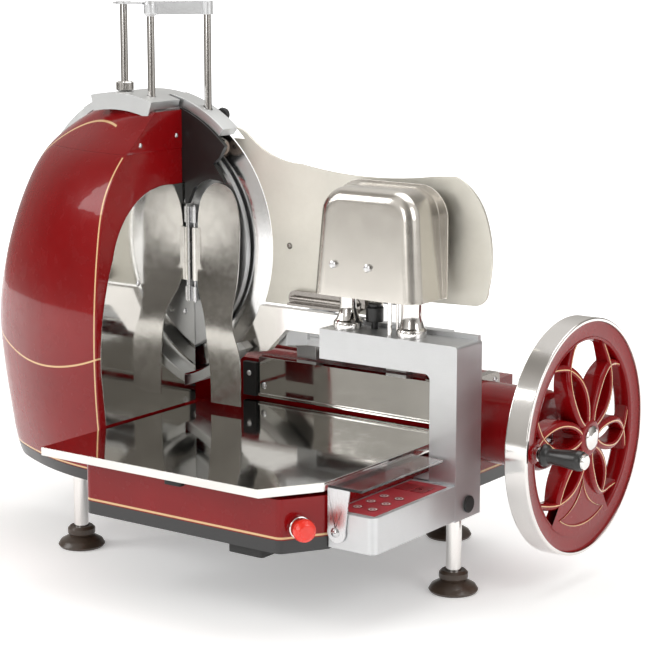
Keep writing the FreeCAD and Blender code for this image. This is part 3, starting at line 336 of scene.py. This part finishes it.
# The bars next to the bell web, as the petal's number and the side of its direction.
BESIDE_BELL = ((3, 1), (4, -1))
GRIP_RADIUS, GRIP_ANGLE = 0.114, 178
FAN_ANGLE, FAN_HALF, FAN_APEX, FAN_FOOT = -93, 30, 0.050, 0.1045
# One side of a petal from the hub over its tip to the rim, with the tip at 1: outwards, then sideways.
PETAL_SIDE = ((0.17, 0.022), (0.28, 0.087), (0.43, 0.133), (0.61, 0.148), (0.76, 0.128), (0.89, 0.076),
              (1.0, 0.0), (1.075, -0.098), (1.14, -0.217), (1.195, -0.337), (1.24, -0.435))
BAR_IN, BAR_OUT, BAR_BACK = 0.0030, 0.0055, 0.180
STRIPE_HALF = 0.0006
WEB_FACE, WEB_BACK = 0.1975, 0.186


class Casting:
    """A mesh built from lofted strips, with the gold lines as faces of their own on the red."""

    def __init__(self):
        self.mesh = bmesh.new()

    def skin(self, rows, gold_columns=(), closed_rows=False, closed_columns=False):
        """Faces between rows of points; columns whose index is in gold_columns are painted gold."""
        grid = [[self.mesh.verts.new(point) for point in row] for row in rows]
        count = len(rows) if closed_rows else len(rows) - 1
        width = len(rows[0]) if closed_columns else len(rows[0]) - 1
        for i in range(count):
            for j in range(width):
                a, b = grid[i], grid[(i + 1) % len(rows)]
                k = (j + 1) % len(rows[0])
                face = self.mesh.faces.new((a[j], a[k], b[k], b[j]))
                face.material_index = 1 if j in gold_columns else 0

    def finish(self, name, materials):
        bmesh.ops.recalc_face_normals(self.mesh, faces=self.mesh.faces)
        data = bpy.data.meshes.new(name)
        self.mesh.to_mesh(data)
        self.mesh.free()
        for face in data.polygons:
            face.use_smooth = True
        for key in materials:
            data.materials.append(MATERIALS[key])
        piece = bpy.data.objects.new(name, data)
        bpy.context.scene.collection.objects.link(piece)
        split = piece.modifiers.new("crisp_edges", "EDGE_SPLIT")
        split.split_angle = math.radians(40)
        return piece


def wheel_point(out, side, x, degrees):
    """A point at a distance outwards and sideways along a spoke direction, at height x along the shaft."""
    a = math.radians(degrees)
    y = WHEEL_Y + out * math.cos(a) - side * math.sin(a)
    z = WHEEL_Z + out * math.sin(a) + side * math.cos(a)
    return Vector((x + SHIFT.x, y, z))


def smooth_path(points, steps=6):
    """Catmull-Rom curve through flat points."""
    ends = [points[0]] + list(points) + [points[-1]]
    path = []
    for p0, p1, p2, p3 in zip(ends, ends[1:], ends[2:], ends[3:]):
        for k in range(steps):
            t = k / steps
            path.append(tuple(0.5 * (2 * b + (c - a) * t + (2 * a - 5 * b + 4 * c - d) * t * t
                                     + (3 * b - a - 3 * c + d) * t ** 3)
                              for a, b, c, d in zip(p0, p1, p2, p3)))
    path.append(points[-1])
    return path


def crest(share):
    """Height of a petal's crest: proud near the hub, level with the rim's face where it meets the rim."""
    t = min(max((1.15 - share) / 0.75, 0.0), 1.0)
    return WHEEL_FACE - 0.004 + 0.011 * t * (2 - t)


def bar(casting, degrees, tip, side, whole):
    """One arched bar of a petal, its gold line near the opening; one that isn't whole ends at the tip."""
    path = [point for point in smooth_path(PETAL_SIDE) if whole or point[0] <= 1.0]
    i, o, g = BAR_IN, BAR_OUT, STRIPE_HALF
    section = ((-o, None), (-o, -0.0040), (-o * 0.9, -0.0022), (-o * 0.6, -0.0008), (-g, 0.0), (g, 0.0),
               (i * 0.6, -0.0003), (i * 0.9, -0.0012), (i, -0.0026), (i, None))
    rows = []
    for k, (out, across) in enumerate(path):
        before, after = path[max(k - 1, 0)], path[min(k + 1, len(path) - 1)]
        run = Vector((after[0] - before[0], after[1] - before[1])).normalized()
        top = crest(out)
        rows.append([wheel_point(out * tip + run.y * inward, side * (across * tip - run.x * inward),
                                 BAR_BACK if drop is None else top + drop, degrees)
                     for inward, drop in section])
    casting.skin(rows, gold_columns=(4,), closed_columns=True)


def turned_ring(casting, profile, segments=144):
    """Ring turned about the shaft from (radius, x) points."""
    rows = [[wheel_point(r, 0, x, 360 * k / segments) for r, x in profile] for k in range(segments)]
    casting.skin(rows, closed_rows=True, closed_columns=True)


def bell_web(casting):
    """Web between the two lowest petals, with a fan outlined in gold."""
    (right, right_tip), (left, left_tip) = PETALS[3:5]
    for x in (WEB_FACE, WEB_BACK):
        rows = []
        for out, across in smooth_path(PETAL_SIDE):
            across = max(across, 0.0)
            a = wheel_point(out * left_tip, across * left_tip, x, left)
            b = wheel_point(out * right_tip, -across * right_tip, x, right)
            rows.append([a.lerp(b, k / 12) for k in range(13)])
        rows.append([wheel_point(RIM_IN + 0.004, 0, x, left + (right - left) * k / 12) for k in range(13)])
        casting.skin(rows)
    foot = [wheel_point(FAN_FOOT, 0, 0, FAN_ANGLE + FAN_HALF * (1 - k / 8)) for k in range(17)]
    tip = wheel_point(FAN_APEX, 0, 0, FAN_ANGLE)
    sides = []
    for turn in (-FAN_HALF, FAN_HALF):
        corner = wheel_point(FAN_FOOT, 0, 0, FAN_ANGLE + turn)
        pull = wheel_point(0.083, 0, 0, FAN_ANGLE + turn * 0.22)
        shares = [k / 14 for k in range(15)]
        curve = [corner * (1 - t) ** 2 + pull * 2 * t * (1 - t) + tip * t * t for t in shares]
        sides.append(curve[1:])
    fan = foot + sides[0] + sides[1][-2::-1]
    middle = sum(fan, Vector()) / len(fan)
    rows = []
    for point in fan:
        inward = (middle - point).normalized()
        levels = ((0.0, 0.0), (0.0, 0.0010), (0.0012, 0.0010), (0.0030, 0.0002))
        rows.append([point + inward * step + Vector((WEB_FACE + rise, 0, 0)) for step, rise in levels])
    casting.skin(rows, gold_columns=(1,), closed_rows=True)


def flywheel():
    casting = Casting()
    face, outside = WHEEL_FACE, RIM_OUT - 0.0003
    turned_ring(casting, ((RIM_IN, RIM_BACK + 0.002), (RIM_IN, face - 0.003),
                          (RIM_IN + 0.0012, face - 0.0012), (RIM_IN + 0.003, face - 0.0006),
                          (RIM_IN + 0.004, face - 0.0016),
                          (outside - 0.002, face - 0.0016), (outside, face - 0.0004), (outside, RIM_BACK),
                          (RIM_IN + 0.002, RIM_BACK)))
    top = HUB_FACE - 0.0003
    turned_ring(casting, ((0.0085, 0.168), (0.0085, top), (HUB_R - 0.003, top), (HUB_R - 0.001, top - 0.0009),
                          (HUB_R, top - 0.0032), (HUB_R, 0.168)), 64)
    for number, (degrees, tip) in enumerate(PETALS):
        for side in (1, -1):
            bar(casting, degrees, tip, side, (number, side) not in BESIDE_BELL)
    bell_web(casting)
    grip = wheel_point(GRIP_RADIUS, 0, 0, GRIP_ANGLE)
    rows = []
    for k in range(40):
        a = math.radians(9 * k)
        spoke = Vector((0, math.cos(a), math.sin(a)))
        rows.append([grip + spoke * r + Vector((x, 0, 0)) for r, x in
                     ((0.013, 0.176), (0.013, 0.1945), (0.0122, 0.1968), (0.0095, 0.1978), (0.0045, 0.1978))])
    casting.skin(rows, closed_rows=True)
    piece = casting.finish("cast_wheel", ("red", "gold"))
    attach(piece, "flywheel")
    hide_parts("flywheel")


flywheel()


# ---------------------------------------------------------------- floor, light and camera

FLOOR_RADIUS = 3.3
PANEL_COUNT, PANEL_TURN = 3, 0.6


def floor():
    """Pale floor that turns into an even white away from the machine."""
    g = Graph("pale_floor")
    cloud = g.noise(1.2, 5.0)
    g.set(Base_Color=g.blend(cloud, rgb(0.90, 0.90, 0.90), rgb(0.94, 0.94, 0.94)), Roughness=0.6)
    distance = g.add("ShaderNodeVectorMath", operation="LENGTH")
    g.put(distance.inputs[0], g.place)
    glow = g.spread(distance.outputs["Value"], 0.30, 1.0, 0.8, 2.8)
    g.set(Emission_Color=rgb(1, 1, 1), Emission_Strength=glow)
    g.bump(g.noise(90.0), 0.0002, 0.1)
    place = (0, 0, -0.0004)
    bpy.ops.mesh.primitive_circle_add(vertices=96, radius=FLOOR_RADIUS, fill_type="NGON", location=place)
    plane = bpy.context.object
    plane.name = "floor"
    plane.data.materials.append(g.material)


def area_light(name, place, target, size, power, tall=None):
    data = bpy.data.lights.new(name, "AREA")
    data.energy = power
    data.shape = "RECTANGLE"
    data.size = size
    data.size_y = tall or size
    lamp = bpy.data.objects.new(name, data)
    bpy.context.scene.collection.objects.link(lamp)
    lamp.location = place
    lamp.rotation_mode = "QUATERNION"
    lamp.rotation_quaternion = (Vector(target) - Vector(place)).to_track_quat("-Z", "Y")


def studio():
    """White to the camera; what the metal reflects is a grey room with tall soft panels round it."""
    world = bpy.data.worlds.new("studio")
    bpy.context.scene.world = world
    world.use_nodes = True
    nodes, links = world.node_tree.nodes, world.node_tree.links

    def step(operation, a, b):
        node = nodes.new("ShaderNodeMath")
        node.operation = operation
        for socket, value in zip(node.inputs, (a, b)):
            if isinstance(value, bpy.types.NodeSocket):
                links.new(value, socket)
            else:
                socket.default_value = value
        return node.outputs[0]

    place = nodes.new("ShaderNodeTexCoord")
    axes = nodes.new("ShaderNodeSeparateXYZ")
    links.new(place.outputs["Generated"], axes.inputs["Vector"])
    turn = step("ARCTAN2", axes.outputs["Y"], axes.outputs["X"])
    panels = step("SINE", step("ADD", step("MULTIPLY", turn, PANEL_COUNT), PANEL_TURN), 0.0)
    panels = step("MULTIPLY", step("ADD", panels, 1.0), 0.5)
    height = step("MULTIPLY", step("ADD", axes.outputs["Z"], 0.35), 0.75)
    level = step("ADD", step("MULTIPLY", panels, 0.55), step("MULTIPLY", height, 0.45))
    ramp = nodes.new("ShaderNodeValToRGB")
    ramp.color_ramp.elements[0].position = 0.12
    ramp.color_ramp.elements[0].color = rgb(0.13, 0.12, 0.11)
    ramp.color_ramp.elements[1].position = 0.82
    ramp.color_ramp.elements[1].color = rgb(0.88, 0.86, 0.83)
    middle = ramp.color_ramp.elements.new(0.45)
    middle.color = rgb(0.42, 0.40, 0.37)
    links.new(level, ramp.inputs["Fac"])
    room = nodes["Background"]
    room.inputs["Strength"].default_value = 0.9
    links.new(ramp.outputs["Color"], room.inputs["Color"])
    white = nodes.new("ShaderNodeBackground")
    white.inputs["Color"].default_value = rgb(1, 1, 1)
    white.inputs["Strength"].default_value = 1.6
    ray = nodes.new("ShaderNodeLightPath")
    choose = nodes.new("ShaderNodeMixShader")
    links.new(ray.outputs["Is Camera Ray"], choose.inputs["Fac"])
    links.new(room.outputs["Background"], choose.inputs[1])
    links.new(white.outputs["Background"], choose.inputs[2])
    links.new(choose.outputs["Shader"], nodes["World Output"].inputs["Surface"])
    area_light("key", (-2.2, -2.0, 2.0), (0, 0, 0.25), 1.5, 40, 1.8)
    area_light("side", (2.7, -0.4, 1.5), (0, 0, 0.25), 1.2, 22, 2.0)
    area_light("top", (0.3, 0.9, 2.9), (0, 0, 0.2), 2.4, 36)
    area_light("front", (0.6, -3.2, 1.2), (0, 0, 0.3), 0.9, 14, 1.6)


CAMERA_AT = at(1305, -1698, 761)
CAMERA_YAW, CAMERA_PITCH = 35.61, 10.99
CAMERA_LENS = 114.5


def camera():
    data = bpy.data.cameras.new("camera")
    data.lens = CAMERA_LENS
    data.sensor_width = 36
    data.clip_end = 100
    eye = bpy.data.objects.new("camera", data)
    bpy.context.scene.collection.objects.link(eye)
    eye.location = CAMERA_AT
    eye.rotation_euler = (math.radians(90 - CAMERA_PITCH), 0, math.radians(CAMERA_YAW))
    bpy.context.scene.camera = eye


floor()
studio()
camera()

bpy.context.scene.view_settings.view_transform = "Standard"
